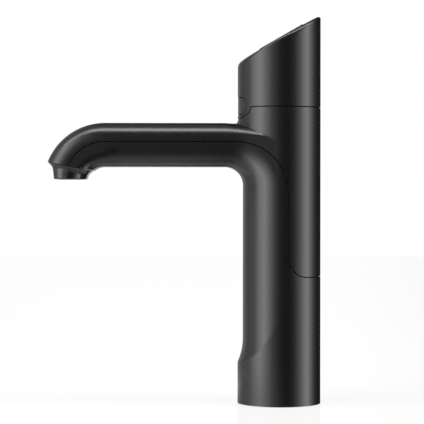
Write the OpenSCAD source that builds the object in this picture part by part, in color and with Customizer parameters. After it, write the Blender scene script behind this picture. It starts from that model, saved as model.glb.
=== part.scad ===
// Deck-mounted boiling water tap: a round column with a slanted control head and a wide,
// flat-topped spout. Origin: centre of the tap hole on top of the worktop. +Z is up and the
// spout reaches out along -X. The whole tap turns on a fixed spigot; the shank, washers and
// nut below z = 0 clamp the spigot to a worktop.

/* [Column] */
// Radius of the round column and head
body_r = 27; // [26.5:0.1:27.5]
// Wall thickness of the two cast shells and the head cap
wall = 2.5; // [2:0.1:3]
// Distance from the column axis to the flattened front of the column
front_x = 23.6; // [23:0.1:24.5]
// Gap between the worktop and the turning rim
deck_gap = 0.5; // [0.3:0.1:0.8]
// Height where the front scoop starts to flare out to the full round foot
scoop_z = 41; // [38:0.5:44]
// Radius of the scoop seen from the side
scoop_r = 28; // [26:1:30]

/* [Spout] */
// Height of the spout's flat top above the worktop
arm_top_z = 182.5; // [181:0.5:183.5]
// Height of the spout's underside above the worktop
arm_bottom_z = 154.6; // [154:0.1:155.5]
// Width of the spout
arm_w = 52; // [50:0.2:53]
// Radius of the spout's upper long edges
arm_top_r = 12.5; // [11:0.5:12.5]
// Radius of the spout's lower long edges
arm_bottom_r = 15; // [12:0.5:15]
// Distance from the column axis to where the spout starts to bend down
bend_x = 115; // [114:0.5:116]
// Height of the centre of that bend
bend_z = 145.5; // [145:0.1:146]
// Radius of the fillet between the spout's underside and the column
elbow_r = 13; // [12:0.5:14]
// Distance from the column axis to the tip of the spout
tip_x = 150.7; // [150:0.1:151]
// Height of the tip of the spout
tip_z = 157.4; // [157:0.1:158]
// Tilt of the plane that ends the spout, in degrees
rim_tilt = 10.4; // [9:0.2:12]

/* [Seams] */
// Height of the seam that splits the spout in halves
seam_z = 170.1; // [169.5:0.1:170.5]
// Distance behind the column axis where the seam runs straight down
seam_x = 4.7; // [4:0.1:5.5]
// Radius of the seam's sweep from the spout into the column
seam_r = 33.2; // [32:0.1:34]
// Height of the level part of the seam at the back of the column
back_seam_z = 83; // [80:0.5:86]
// Radius of the seam's lower corner
corner_r = 12.8; // [11:0.1:14]
// Height of the seam under the head cap
cap_z = 192.8; // [192.4:0.1:193.2]
// Gap between the two castings along their seam
seam_gap = 0.2; // [0.1:0.05:0.3]

/* [Head] */
// Height of the slanted face at the column axis
slant_z = 237.4; // [236.4:0.2:238]
// Slope of the slanted face, in degrees
slant_tilt = 30; // [28:0.5:32]
// Half length of the oval window on the front of the head
window_half = 15.4; // [14.5:0.1:16]
// Half height of the oval window
window_r = 5.6; // [5.2:0.1:6]
// Height of the window's centre
window_z = 193.7; // [193.2:0.1:194.2]
// Half length of the cap's lobe round the window
lobe_half = 18.9; // [18.4:0.1:19.4]
// Half height of that lobe
lobe_r = 7.6; // [7.2:0.1:8]

/* [Controls] */
// Radius of the ends of the raised control pad
pad_r = 13; // [12.6:0.1:13.4]
// Distance between the centres of the pad's round ends
pad_span = 6.8; // [6:0.1:7.4]
// Distance of the pad's centre up the slope from the column axis
pad_u = 1.75; // [1.5:0.05:2]
// Height of the pad above the slanted face
pad_rise = 1.2; // [1:0.1:1.4]
// Radius of the round ends of the two water buttons
button_r = 4.3; // [4:0.1:4.4]
// Length of the two water buttons along the slope
button_len = 16; // [15:0.5:16.5]
// Distance of each water button from the middle of the pad
button_v = 5.5; // [5.4:0.1:5.6]
// Radius of the safety lock button
lock_r = 3.4; // [3:0.1:3.6]
// Travel of each button
travel = 0.8; // [0.5:0.1:0.8]

/* [Swivel] */
// Radius of the fixed spigot
spigot_r = 18; // [17.8:0.1:18.2]
// Radial running clearance between spigot and bush
running_gap = 0.05; // [0.03:0.01:0.08]
// Swing of the tap to each side, in degrees
swing = 60; // [45:5:75]

/* [Fixing] */
// Major radius of the threaded shank
shank_r = 16.5; // [16:0.1:16.8]
// Radius of the bore that the tubes and the lead pass through
shank_bore_r = 13; // [12.8:0.1:13.4]
// Thickness of the worktop that the washers are drawn for
worktop_t = 30; // [20:1:35]
// Length of the shank below the worktop's top face
shank_len = 62; // [60:1:70]
// Pitch of the shank's thread
thread_pitch = 2; // [1.5:0.25:3]
// Depth of the shank's thread
thread_depth = 1; // [0.6:0.1:1.2]
// Size of the back nut across its flats
nut_af = 41; // [40:0.5:46]

/* [Tubes] */
// Outer radius of the water tubes and their inlet stubs
tube_r = 4; // [3.8:0.1:4]
// Inner radius of the water tubes
tube_bore_r = 2.75; // [2.5:0.05:2.9]
// Distance of each water tube from the middle plane
tube_y = 7; // [6.8:0.1:7.2]
// Distance of the outlets from the column axis
outlet_x = 136.2; // [135.8:0.1:136.6]
// Height of the nozzle's lower lip
nozzle_z = 146.2; // [145.8:0.1:146.6]

/* [Hidden] */
$fn = 96;

// Overshoot of cutting bodies, and a span longer than the tap is wide
cut = 1;
far = 60;

// Column: the flattened front is a second round face, offset towards the back, that meets
// the column at its widest points.
front_c = (body_r * body_r - front_x * front_x) / (2 * front_x);
front_r = front_x + front_c;
body_top = slant_z + body_r * tan(slant_tilt);

// The spout's lower edges, kept small enough to leave a narrow flat flank
arm_low_r = min(arm_bottom_r, arm_top_z - arm_bottom_z - arm_top_r - 0.4);

// Seam sweep
sweep_x = seam_x - seam_r;
sweep_z = seam_z - seam_r;

// Lugs and pillars that take the two shell screws
pillar_pos = [-12, 17];
pillar_r = 3.3;
pillar_top = 178;
screw_r = 2;

// Swivel: turning collar, bush, rings and stop
collar_z0 = 8;
collar_z1 = 32;
bush_r = spigot_r + 2.5;
flange_r = body_r - wall - 0.5;
flange_z = 1.2;
flange_t = 4;
spigot_top = 36;
o_ring_r = 0.85;
o_ring_z = [14, 26];
ring_z = 33;
ring_t = 1.2;
stop_r = 1.3;
stop_x = 22.4;
stop_clear = 0.15;
stop_slot = swing + asin(stop_r / stop_x) + 0.6;

// Clamping hardware below the worktop
rubber_t = 3;
washer_t = 2;
nut_t = 10;
washer_bore_r = shank_r + 0.2;

// Tubes: risers beside the axis, one sweep into the spout, one down to the outlets
riser_x = 2;
sweep_r = 18;
run_z = 169.5;
drop_r = 12;
drop_x = -outlet_x + drop_r;
block_top = run_z - drop_r;
guide_z0 = -shank_len - 4;
guide_z1 = guide_z0 + 10;
stub_z0 = guide_z0 - 18;
stub_z1 = guide_z0 + 8;
cable_x = 9;
cable_r = 2;
cable_top = 224;

// Nozzle: a rounded rectangle below the tilted rim
nozzle_size = [21.3, 44];
nozzle_front_r = 7.6;
nozzle_back_r = 13.4;
nozzle_wall = 2.2;
insert_z0 = nozzle_z + 0.6;
insert_t = 2.8;
seal_t = 0.6;
block_z0 = insert_z0 + insert_t + seal_t;
outlet_screw_y = 15;
outlet_screw_r = 1.5;

// Controls: heights are measured square to the slanted face
fascia_seat = 2.2;
roof_t = 3;
board_t = 1.6;
board_n = -roof_t - 4.4;
switch_h = 2.6;
switch_w = 6;
plunger_r = 1.7;
stem_r = 2;
button_flange = 0.6;
button_gap = 0.3;
button_u = pad_u - 3.55;
lock_u = pad_u + 10.25;
board_boss_v = 17;
board_screw_r = 1.2;

cap_black = [0.09, 0.09, 0.095];
cast_black = [0.10, 0.10, 0.105];
rubber_black = [0.05, 0.05, 0.05];

// ---------- shared shapes ----------

module ring(r_out, r_in, z0, z1) {
  difference() {
    translate([0, 0, z0]) cylinder(r = r_out, h = z1 - z0);
    translate([0, 0, z0 - cut]) cylinder(r = r_in, h = z1 - z0 + 2 * cut);
  }
}

module on_slant() {
  translate([0, 0, slant_z]) rotate([0, -slant_tilt, 0]) children();
}

module both_sides() {
  children();
  mirror([0, 1, 0]) children();
}

// A slot shape along x: two round ends joined by a rectangle
module slot_2d(r, span) {
  for (side = [-1, 1]) translate([side * span / 2, 0]) circle(r = r);
  square([span, 2 * r], center = true);
}

module rounded_2d(size, r) {
  square([size[0] - 2 * r, size[1]], center = true);
  square([size[0], size[1] - 2 * r], center = true);
  for (i = [-1, 1], j = [-1, 1]) {
    translate([i * (size[0] / 2 - r), j * (size[1] / 2 - r)]) circle(r = r);
  }
}

// Carries a flat outline in X and Z across the whole width of the tap
module across() {
  rotate([90, 0, 0]) linear_extrude(2 * far, center = true) children();
}

// An oval in Y and Z, run forwards from the middle of the head
module front_prism(r, span, z) {
  translate([-2 * body_r, 0, z]) rotate([90, 0, 90]) linear_extrude(2 * body_r) slot_2d(r, span);
}

// Turns a sweep about the vertical so that it runs from straight up towards -X
module sweep_forward(x, z) {
  translate([x, 0, z]) rotate([0, -90, 0]) rotate([90, 0, 0]) children();
}

// ---------- outer form, inset by g for the hollow ----------

// One edge band of the spout's section: a strip r high whose two outer corners are round
module edge_band_2d(hw, r, low_z, centre_z) {
  intersection() {
    translate([-hw, low_z]) square([2 * hw, r]);
    union() {
      for (s = [-1, 1]) translate([s * (hw - r), centre_z]) circle(r = r);
      square([2 * (hw - r), 4 * arm_top_z], center = true);
    }
  }
}

// A rectangle between the levels low and top, with its own radii for each pair of corners
module two_radius_2d(hw, low, top, low_r, top_r) {
  edge_band_2d(hw, low_r, low, low + low_r);
  translate([-hw, low + low_r]) square([2 * hw, top - top_r - low - low_r]);
  edge_band_2d(hw, top_r, top - top_r, top - top_r);
}

// Section of the spout: Y across, Z up
module arm_section(g, w, top_r, low_r) {
  two_radius_2d(w / 2 - g, arm_bottom_z + g, arm_top_z - g, low_r - g, top_r - g);
}

module column_form(g) {
  difference() {
    cylinder(r = body_r - g, h = body_top + cut);
    translate([front_c, 0, 0]) rotate_extrude() {
      translate([front_r + scoop_r, scoop_z]) circle(r = scoop_r + g);
      translate([front_r - g, scoop_z]) square([far, arm_bottom_z + 8 - scoop_z]);
    }
  }
}

module arm_form(g) {
  difference() {
    union() {
      translate([-bend_x, 0, 0]) rotate([90, 0, 90])
        linear_extrude(bend_x - 6) arm_section(g, arm_w, arm_top_r, arm_low_r);
      sweep_forward(-bend_x, bend_z) rotate_extrude(angle = 80)
        translate([-bend_z, 0]) rotate(-90) arm_section(g, arm_w, arm_top_r, arm_low_r);
    }
    translate([-tip_x, 0, tip_z]) rotate([0, rim_tilt, 0])
      translate([-far, -far, -far]) cube([2 * far, 2 * far, far]);
  }
}

// Underside of the spout turning down into the front of the column. It starts a little inside
// both, so that no two faces only touch.
module elbow_form(g) {
  elbow_x = -front_x - elbow_r;
  elbow_z = arm_bottom_z - elbow_r;
  inside = 0.05;
  intersection() {
    translate([elbow_x, 0, elbow_z]) rotate([90, 0, 0]) rotate_extrude(angle = 90)
      translate([-elbow_z, 0]) rotate(-90) arm_section(g + inside, 2 * (body_r - 3), 4, body_r - 4);
    translate([-far, -far, 0]) cube([2 * far, 2 * far, arm_bottom_z + 12]);
  }
}

module outer_form(g) {
  column_form(g);
  arm_form(g);
  elbow_form(g);
}

// Side view of everything that belongs to the lower casting
module lower_side_2d(g) {
  translate([-bend_x, 0]) square([bend_x + sweep_x, seam_z + g]);
  translate([-bend_x, bend_z]) circle(r = seam_z - bend_z + g);
  translate([sweep_x, sweep_z]) circle(r = seam_r + g);
  translate([sweep_x, 0]) square([seam_r + g, sweep_z]);
  translate([sweep_x, -cut]) square([far, back_seam_z + g + cut]);
  difference() {
    translate([seam_x, back_seam_z]) square(corner_r);
    translate([seam_x + corner_r, back_seam_z + corner_r]) circle(r = corner_r - g);
  }
}

module head_lobe(g) {
  front_prism(lobe_r + g, 2 * (lobe_half - lobe_r), cap_z);
}

module window_prism(g) {
  front_prism(window_r + g, 2 * (window_half - window_r), window_z);
}

// ---------- fixed base ----------

module deck_gasket() {
  color(rubber_black) ring(flange_r - 0.2, washer_bore_r + 0.6, 0, flange_z);
}

module base_spigot() {
  color("goldenrod") difference() {
    union() {
      ring(flange_r, shank_bore_r, flange_z, flange_z + flange_t);
      ring(spigot_r, shank_bore_r, flange_z, spigot_top);
    }
    translate([0, 0, flange_z - cut]) cylinder(r = shank_r, h = 11 + cut);
    for (z = o_ring_z) {
      ring(spigot_r + cut, spigot_r - 2 * o_ring_r, z - 1.1, z + 1.1);
    }
    ring(spigot_r + cut, spigot_r - 1.2, ring_z, ring_z + ring_t);
    translate([stop_x, 0, flange_z - cut]) cylinder(r = stop_r, h = flange_t + 2 * cut);
  }
}

// The thread is drawn as level grooves, from 1 mm above the lower end to just below the worktop
module threaded_shank() {
  turns = floor((shank_len - 3) / thread_pitch);
  crests = [for (i = [0:turns - 1]) -shank_len + 1 + i * thread_pitch];
  grooves = [
    for (z = crests) each [
      [shank_r, z],
      [shank_r - thread_depth, z + 0.4 * thread_pitch],
      [shank_r, z + 0.8 * thread_pitch],
    ]
  ];
  end = [[shank_bore_r, -shank_len], [shank_r - thread_depth, -shank_len]];
  head = [[shank_r, flange_z + 11], [shank_bore_r, flange_z + 11]];
  color("goldenrod") rotate_extrude() polygon(concat(end, grooves, head));
}

module stop_pin() {
  color("silver") translate([stop_x, 0, flange_z]) cylinder(r = stop_r, h = 9);
}

module swivel_o_rings() {
  color(rubber_black) for (z = o_ring_z) {
    translate([0, 0, z]) rotate_extrude() translate([spigot_r - o_ring_r, 0]) circle(r = o_ring_r);
  }
}

module thrust_washer() {
  color("ivory") ring(spigot_r + 2.3, spigot_r + 0.1, collar_z1 + 0.1, ring_z);
}

module retaining_ring() {
  color("silver") difference() {
    ring(spigot_r + 2, spigot_r - 1.2, ring_z, ring_z + ring_t);
    translate([0, -2, ring_z - cut]) cube([far, 4, ring_t + 2 * cut]);
  }
}

module rubber_washer() {
  color(rubber_black) ring(body_r, washer_bore_r, -worktop_t - rubber_t, -worktop_t);
}

module steel_washer() {
  z0 = -worktop_t - rubber_t - washer_t;
  color("silver") ring(body_r - 1, washer_bore_r, z0, z0 + washer_t);
}

module back_nut() {
  z0 = -worktop_t - rubber_t - washer_t - nut_t;
  color("goldenrod") difference() {
    translate([0, 0, z0]) cylinder(r = nut_af / 2 / cos(30), h = nut_t, $fn = 6);
    translate([0, 0, z0 - cut]) cylinder(r = shank_r, h = nut_t + 2 * cut);
  }
}

// ---------- turning castings ----------

// Pillar tied to the side wall of the lower casting, for one shell screw
module screw_pillar() {
  angle = atan2(pillar_pos[1], pillar_pos[0]);
  reach = norm(pillar_pos);
  translate([pillar_pos[0], pillar_pos[1], 130]) cylinder(r = pillar_r, h = pillar_top - 130);
  rotate([0, 0, angle]) translate([reach, -1.5, 130]) cube([body_r - reach - 1, 3, 30]);
}

module lower_body() {
  color(cast_black) difference() {
    union() {
      intersection() {
        difference() {
          outer_form(0);
          outer_form(wall);
        }
        across() lower_side_2d(0);
      }
      ring(body_r - wall + 0.1, bush_r, collar_z0, collar_z1);
      both_sides() screw_pillar();
    }
    translate([0, 0, -cut]) cylinder(r = far, h = deck_gap + cut);
    rotate([0, 0, -stop_slot]) rotate_extrude(angle = 2 * stop_slot)
      translate([stop_x - stop_r - stop_clear, collar_z0 - cut])
        square([2 * (stop_r + stop_clear), 3.2 + cut]);
    both_sides() translate([pillar_pos[0], pillar_pos[1], pillar_top - 12])
      cylinder(r = screw_r, h = 12 + cut);
  }
}

// Ledge on the inside of the upper casting that one shell screw clamps
module screw_ledge() {
  translate([pillar_pos[0], pillar_pos[1], pillar_top]) cylinder(r = pillar_r + 1.5, h = 3);
}

// Tongue that hooks the back of the upper casting behind the lower one
module back_tongue() {
  half = 35;
  r_in = body_r - wall - 2.2;
  rotate([0, 0, -half]) rotate_extrude(angle = 2 * half) {
    translate([r_in, back_seam_z - 7]) square([2, 17]);
    translate([r_in, back_seam_z + 1]) square([2.4, 9]);
  }
}

// Post under the roof of the spout's tip that takes one outlet screw
module tip_post() {
  intersection() {
    translate([-outlet_x, outlet_screw_y, block_top]) cylinder(r = 3.2, h = 25);
    outer_form(0.5);
  }
}

module upper_shell() {
  color(cast_black) difference() {
    union() {
      difference() {
        outer_form(0);
        outer_form(wall);
        across() lower_side_2d(seam_gap);
      }
      both_sides() screw_ledge();
      both_sides() tip_post();
      back_tongue();
    }
    translate([-far, -far, cap_z]) cube([2 * far, 2 * far, far + 20]);
    head_lobe(seam_gap);
    both_sides() translate([pillar_pos[0], pillar_pos[1], pillar_top - cut])
      cylinder(r = screw_r + 0.2, h = 5);
    both_sides() translate([-outlet_x, outlet_screw_y, block_top - cut])
      cylinder(r = outlet_screw_r, h = 7);
    translate([body_r - wall - cut, 0, cap_z - 3]) rotate([0, 90, 0])
      cylinder(r = 1.6, h = wall + 2 * cut);
  }
}

// Slanted half space above a face that lies n above the slanted face
module above_slant(n) {
  on_slant() translate([-far, -far, n]) cube([2 * far, 2 * far, far]);
}

// Edge cuts that take the sharp front and back corners off the slanted face
module edge_cuts() {
  front_cut = 2;
  back_cut = 1.4;
  translate([-body_r, 0, slant_z - body_r * tan(slant_tilt) - front_cut]) rotate([0, -62, 0])
    translate([-far, -far, 0]) cube([2 * far, 2 * far, far]);
  translate([body_r, 0, body_top - back_cut]) rotate([0, slant_tilt, 0])
    translate([-far, -far, 0]) cube([2 * far, 2 * far, far]);
}

module pad_2d(g) {
  slot_2d(pad_r + g, pad_span);
}

module head_cap() {
  lip_r = body_r - wall - 0.1;
  color(cap_black) difference() {
    union() {
      difference() {
        cylinder(r = body_r, h = body_top + cut);
        translate([0, 0, -cut]) difference() {
          cylinder(r = body_r - wall, h = body_top + cut);
          above_slant(-roof_t + cut);
        }
        difference() {
          translate([0, 0, -cut]) cylinder(r = far, h = cap_z + seam_gap + cut);
          head_lobe(0);
        }
      }
      ring(lip_r, lip_r - 2, cap_z - 6, cap_z + 1);
      ring(lip_r + 0.2, lip_r - 2, cap_z + seam_gap, cap_z + 3);
      translate([19.5, 0, cap_z - 3]) rotate([0, 90, 0]) cylinder(r = 3, h = 4);
      on_slant() both_sides() translate([pad_u, board_boss_v, board_n])
        cylinder(r = 2.6, h = -board_n - roof_t + 0.5);
      both_sides() intersection() {
        translate([-19.5, 12.4, window_z - 4]) cube([5.5, 6, 8]);
        cylinder(r = body_r - wall + 0.2, h = body_top);
      }
    }
    above_slant(0);
    edge_cuts();
    on_slant() translate([pad_u, 0, -fascia_seat]) linear_extrude(far) pad_2d(0.15);
    on_slant() translate([pad_u, 0, -2 * roof_t]) linear_extrude(3 * roof_t) pad_2d(-1);
    window_prism(0.15);
    intersection() {
      window_prism(1.4);
      translate([0, 0, window_z - far]) cylinder(r = body_r - wall, h = 2 * far);
    }
    translate([-17.7, -13.1, window_z - 5.3]) cube([1.8, 26.2, 11.2]);
    on_slant() both_sides() translate([pad_u, board_boss_v, board_n - cut])
      cylinder(r = board_screw_r, h = 4.5);
    translate([0, 0, cap_z - 3]) rotate([0, 90, 0]) cylinder(r = 1.5, h = body_r);
  }
}

module shell_screws() {
  color("silver") both_sides() translate([pillar_pos[0], pillar_pos[1], 0]) {
    translate([0, 0, pillar_top - 11]) cylinder(r = screw_r, h = 14);
    difference() {
      translate([0, 0, pillar_top + 3]) cylinder(r = 3.2, h = 2.4);
      translate([0, 0, pillar_top + 4]) cylinder(r = 1.4, h = 2, $fn = 6);
    }
  }
}

module cap_grub_screw() {
  color("silver") difference() {
    translate([20, 0, cap_z - 3]) rotate([0, 90, 0]) cylinder(r = 1.5, h = body_r - 20.6);
    translate([body_r - 2.2, 0, cap_z - 3]) rotate([0, 90, 0]) cylinder(r = 0.8, h = 3, $fn = 6);
  }
}

module swivel_bush() {
  color("ivory") ring(bush_r, spigot_r + running_gap, collar_z0, collar_z1);
}

// ---------- controls in the head ----------

module button_2d(g) {
  slot_2d(button_r + g, button_len - 2 * button_r);
}

module control_fascia() {
  color(cap_black) on_slant() difference() {
    translate([pad_u, 0, -fascia_seat]) linear_extrude(fascia_seat + pad_rise) pad_2d(0);
    translate([0, 0, -far]) linear_extrude(2 * far) {
      for (side = [-1, 1]) translate([button_u, side * button_v]) button_2d(button_gap);
      translate([lock_u, 0]) circle(r = lock_r + button_gap);
    }
  }
}

// A button square to the slanted face: cap, flange below the fascia and stem
module button_stack(u, v) {
  flange_top = -fascia_seat - 0.1;
  stem_low = board_n + switch_h + travel + 0.1;
  on_slant() translate([u, v, 0]) {
    translate([0, 0, flange_top]) linear_extrude(pad_rise + 0.1 - flange_top) children(0);
    translate([0, 0, flange_top - 0.6]) linear_extrude(0.6) children(1);
    translate([0, 0, stem_low]) cylinder(r = stem_r, h = flange_top - stem_low);
  }
}

module water_button(side) {
  button_stack(button_u, side * button_v) {
    button_2d(0);
    button_2d(button_flange);
  }
}

module boiling_button() {
  color("firebrick") water_button(1);
}

module chilled_button() {
  color("royalblue") water_button(-1);
}

module lock_button() {
  color("dimgray") button_stack(lock_u, 0) {
    circle(r = lock_r);
    circle(r = lock_r + button_flange);
  }
}

module switch_plunger(u, v) {
  top = board_n + switch_h + travel + 0.1;
  color("white") on_slant() translate([u, v, top - 1.7]) cylinder(r = plunger_r, h = 1.7);
}

module boiling_plunger() {
  switch_plunger(button_u, button_v);
}

module chilled_plunger() {
  switch_plunger(button_u, -button_v);
}

module lock_plunger() {
  switch_plunger(lock_u, 0);
}

module tact_switch(u, v) {
  color("dimgray") on_slant() translate([u, v, board_n]) difference() {
    translate([-switch_w / 2, -switch_w / 2, 0]) cube([switch_w, switch_w, switch_h]);
    translate([0, 0, 0.7]) cylinder(r = plunger_r + running_gap, h = switch_h);
  }
}

module boiling_switch() {
  tact_switch(button_u, button_v);
}

module chilled_switch() {
  tact_switch(button_u, -button_v);
}

module lock_switch() {
  tact_switch(lock_u, 0);
}

module control_board() {
  plate_z = board_n - board_t;
  color("darkgreen") difference() {
    union() {
      intersection() {
        on_slant() translate([-17, -far, plate_z]) cube([36, 2 * far, board_t]);
        cylinder(r = body_r - wall - 0.9, h = body_top);
      }
      difference() {
        translate([cable_x - 4, -3, cable_top]) cube([8, 6, 16]);
        above_slant(plate_z);
      }
      difference() {
        translate([-6, -2, 222]) cube([4, 4, 8]);
        above_slant(plate_z);
      }
    }
    on_slant() both_sides() translate([pad_u, board_boss_v, plate_z - cut])
      cylinder(r = board_screw_r, h = board_t + 2 * cut);
  }
}

module board_screws() {
  color("silver") on_slant() both_sides() translate([pad_u, board_boss_v, board_n - board_t]) {
    translate([0, 0, -1.4]) cylinder(r = 2.2, h = 1.4);
    cylinder(r = board_screw_r, h = board_t + 3);
  }
}

module indicator_lens() {
  color([0.16, 0.16, 0.17]) {
    intersection() {
      window_prism(0);
      ring(body_r - 0.1, body_r - wall - 1.6, window_z - far, window_z + far);
    }
    intersection() {
      window_prism(1.2);
      ring(body_r - wall - 0.1, body_r - wall - 1.6, window_z - far, window_z + far);
    }
  }
}

module indicator_board() {
  color("darkgreen") translate([-17.6, -13, window_z - 5.2]) cube([1.6, 26, 11]);
}

module indicator_leds() {
  color("gold") for (y = [-6, 6]) translate([-19.4, y - 1.5, window_z - 1.5]) cube([1.8, 3, 3]);
}

module indicator_lead() {
  lead_r = 1.2;
  turn_r = 5;
  start_x = -16.8;
  start_z = window_z + 5.8;
  turn_z = 206;
  end_x = -4;
  color(rubber_black) {
    translate([start_x, 0, start_z]) cylinder(r = lead_r, h = turn_z - start_z);
    translate([start_x + turn_r, 0, turn_z]) rotate([90, 0, 0]) rotate([0, 0, 90])
      rotate_extrude(angle = 90) translate([turn_r, 0]) circle(r = lead_r);
    translate([start_x + turn_r, 0, turn_z + turn_r]) rotate([0, 90, 0])
      cylinder(r = lead_r, h = end_x - start_x - 2 * turn_r);
    translate([end_x - turn_r, 0, turn_z + 2 * turn_r]) rotate([90, 0, 0]) rotate([0, 0, -90])
      rotate_extrude(angle = 90) translate([turn_r, 0]) circle(r = lead_r);
    translate([end_x, 0, turn_z + 2 * turn_r]) cylinder(r = lead_r, h = 222 - turn_z - 2 * turn_r);
  }
}

// ---------- water and wiring ----------

// Centre line of one water tube, from the inlet stub to the outlet block
module tube_run(r) {
  translate([riser_x, 0, stub_z1]) cylinder(r = r, h = run_z - sweep_r - stub_z1);
  translate([riser_x - sweep_r, 0, run_z - sweep_r]) rotate([90, 0, 0])
    rotate_extrude(angle = 90) translate([sweep_r, 0]) circle(r = r);
  translate([drop_x, 0, run_z]) rotate([0, 90, 0])
    cylinder(r = r, h = riser_x - sweep_r - drop_x);
  sweep_forward(drop_x, run_z - drop_r) rotate_extrude(angle = 90)
    translate([drop_r, 0]) circle(r = r);
  translate([-outlet_x, 0, block_top - 3]) cylinder(r = r, h = 3);
}

module water_tube() {
  difference() {
    tube_run(tube_r);
    tube_run(tube_bore_r);
  }
}

module boiling_tube() {
  color([0.85, 0.85, 0.82]) translate([0, tube_y, 0]) water_tube();
}

module chilled_tube() {
  color([0.85, 0.85, 0.82]) translate([0, -tube_y, 0]) water_tube();
}

// Stub that an 8 mm push-fit connector closes on, with a nipple inside the tube
module inlet_stub(y) {
  color("goldenrod") translate([riser_x, y, 0]) difference() {
    union() {
      translate([0, 0, stub_z0]) cylinder(r = tube_r, h = guide_z0 - stub_z0);
      translate([0, 0, guide_z0]) cylinder(r = tube_r + 0.5, h = stub_z1 - guide_z0);
      translate([0, 0, stub_z1]) cylinder(r = tube_bore_r, h = 12);
    }
    translate([0, 0, stub_z0 - cut]) cylinder(r = 1.9, h = stub_z1 + 12 - stub_z0 + 2 * cut);
  }
}

module boiling_inlet() {
  inlet_stub(tube_y);
}

module chilled_inlet() {
  inlet_stub(-tube_y);
}

module tube_guide() {
  color("ivory") difference() {
    translate([0, 0, guide_z0]) cylinder(r = shank_bore_r - 0.3, h = guide_z1 - guide_z0);
    for (y = [-tube_y, tube_y]) translate([riser_x, y, guide_z0 - cut]) {
      cylinder(r = tube_r + 0.5, h = stub_z1 - guide_z0 + cut);
      cylinder(r = tube_r, h = far);
    }
    translate([cable_x, 0, guide_z0 - cut]) cylinder(r = cable_r, h = far);
  }
}

module control_cable() {
  color(rubber_black) translate([cable_x, 0, guide_z0]) cylinder(r = cable_r, h = cable_top - guide_z0);
}

// ---------- nozzle ----------

module nozzle_slice(g) {
  half = nozzle_size[0] / 2 - g;
  low = outlet_x - half;
  top = outlet_x + half;
  rotate(90) two_radius_2d(nozzle_size[1] / 2 - g, low, top, nozzle_back_r - g, nozzle_front_r - g);
}

module below_rim(gap) {
  translate([-tip_x, 0, tip_z - gap]) rotate([0, rim_tilt, 0])
    translate([-far, -far, -far]) cube([2 * far, 2 * far, far]);
}

module nozzle_collar() {
  shoulder_z = 151.5;
  rim_size = [28.6, 50.4];
  color(cap_black) difference() {
    intersection() {
      union() {
        translate([0, 0, nozzle_z]) linear_extrude(14) nozzle_slice(0);
        hull() {
          translate([0, 0, shoulder_z]) linear_extrude(0.1) nozzle_slice(0);
          translate([-tip_x, 0, tip_z]) rotate([0, rim_tilt, 0])
            translate([rim_size[0] / 2 + 0.9, 0, -0.3]) linear_extrude(0.1) rounded_2d(rim_size, 12, $fn = 32);
        }
      }
      below_rim(0.1);
    }
    translate([0, 0, nozzle_z - cut]) linear_extrude(16) nozzle_slice(nozzle_wall);
  }
}

module outlet_block() {
  color("ivory") difference() {
    translate([0, 0, block_z0]) linear_extrude(block_top - block_z0) nozzle_slice(nozzle_wall + 0.1);
    for (y = [-tube_y, tube_y]) translate([-outlet_x, y, 0]) {
      translate([0, 0, block_top - 3]) cylinder(r = tube_r, h = 4);
      translate([0, 0, block_z0 - cut]) cylinder(r = tube_bore_r, h = far);
    }
    both_sides() translate([-outlet_x, outlet_screw_y, block_z0 - cut])
      cylinder(r = outlet_screw_r, h = far);
  }
}

module nozzle_seal() {
  color(rubber_black) difference() {
    translate([0, 0, block_z0 - seal_t]) linear_extrude(seal_t) nozzle_slice(nozzle_wall + 0.1);
    for (y = [-tube_y, tube_y]) translate([-outlet_x, y, block_z0 - far / 2])
      cylinder(r = tube_bore_r, h = far);
    both_sides() translate([-outlet_x, outlet_screw_y, block_z0 - far / 2])
      cylinder(r = outlet_screw_r, h = far);
  }
}

// Boiling water leaves by one open bore, chilled water by a ring of fine jets
module nozzle_insert() {
  jets = 6;
  color("dimgray") difference() {
    translate([0, 0, insert_z0]) linear_extrude(insert_t) nozzle_slice(nozzle_wall + 0.1);
    translate([-outlet_x, tube_y, insert_z0 - cut]) cylinder(r = tube_bore_r, h = far);
    translate([-outlet_x, -tube_y, insert_z0 - cut]) {
      for (i = [0:jets - 1]) rotate([0, 0, i * 360 / jets]) translate([1.8, 0, 0]) cylinder(r = 0.6, h = far);
      cylinder(r = 0.6, h = far);
    }
    both_sides() translate([-outlet_x, outlet_screw_y, insert_z0 - cut]) {
      cylinder(r = outlet_screw_r, h = far);
      cylinder(r = 2.4, h = 1.6 + cut);
    }
  }
}

module outlet_screws() {
  color("silver") both_sides() translate([-outlet_x, outlet_screw_y, insert_z0 + 0.1]) {
    difference() {
      cylinder(r = 2.4, h = 1.5);
      translate([0, 0, -cut]) cylinder(r = 1.1, h = 1 + cut, $fn = 6);
    }
    translate([0, 0, 1.4]) cylinder(r = outlet_screw_r, h = 14);
  }
}

deck_gasket();
base_spigot();
threaded_shank();
stop_pin();
swivel_o_rings();
thrust_washer();
retaining_ring();
rubber_washer();
steel_washer();
back_nut();
lower_body();
upper_shell();
head_cap();
shell_screws();
cap_grub_screw();
swivel_bush();
control_fascia();
indicator_lens();
indicator_board();
indicator_leds();
indicator_lead();
control_board();
board_screws();
boiling_switch();
chilled_switch();
lock_switch();
boiling_button();
chilled_button();
lock_button();
boiling_plunger();
chilled_plunger();
lock_plunger();
control_cable();
boiling_tube();
chilled_tube();
boiling_inlet();
chilled_inlet();
tube_guide();
outlet_block();
nozzle_seal();
nozzle_insert();
nozzle_collar();
outlet_screws();
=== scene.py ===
"""Looks of the boiling water tap: skins of the castings, trim, finishes, light and camera.

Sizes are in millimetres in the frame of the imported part: the origin lies at the tap hole on the
worktop, +Z is up, the spout reaches along -X and the photographed side is -Y.
"""

import logging
import math
from dataclasses import dataclass
from enum import Enum
from typing import Callable, Sequence

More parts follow.
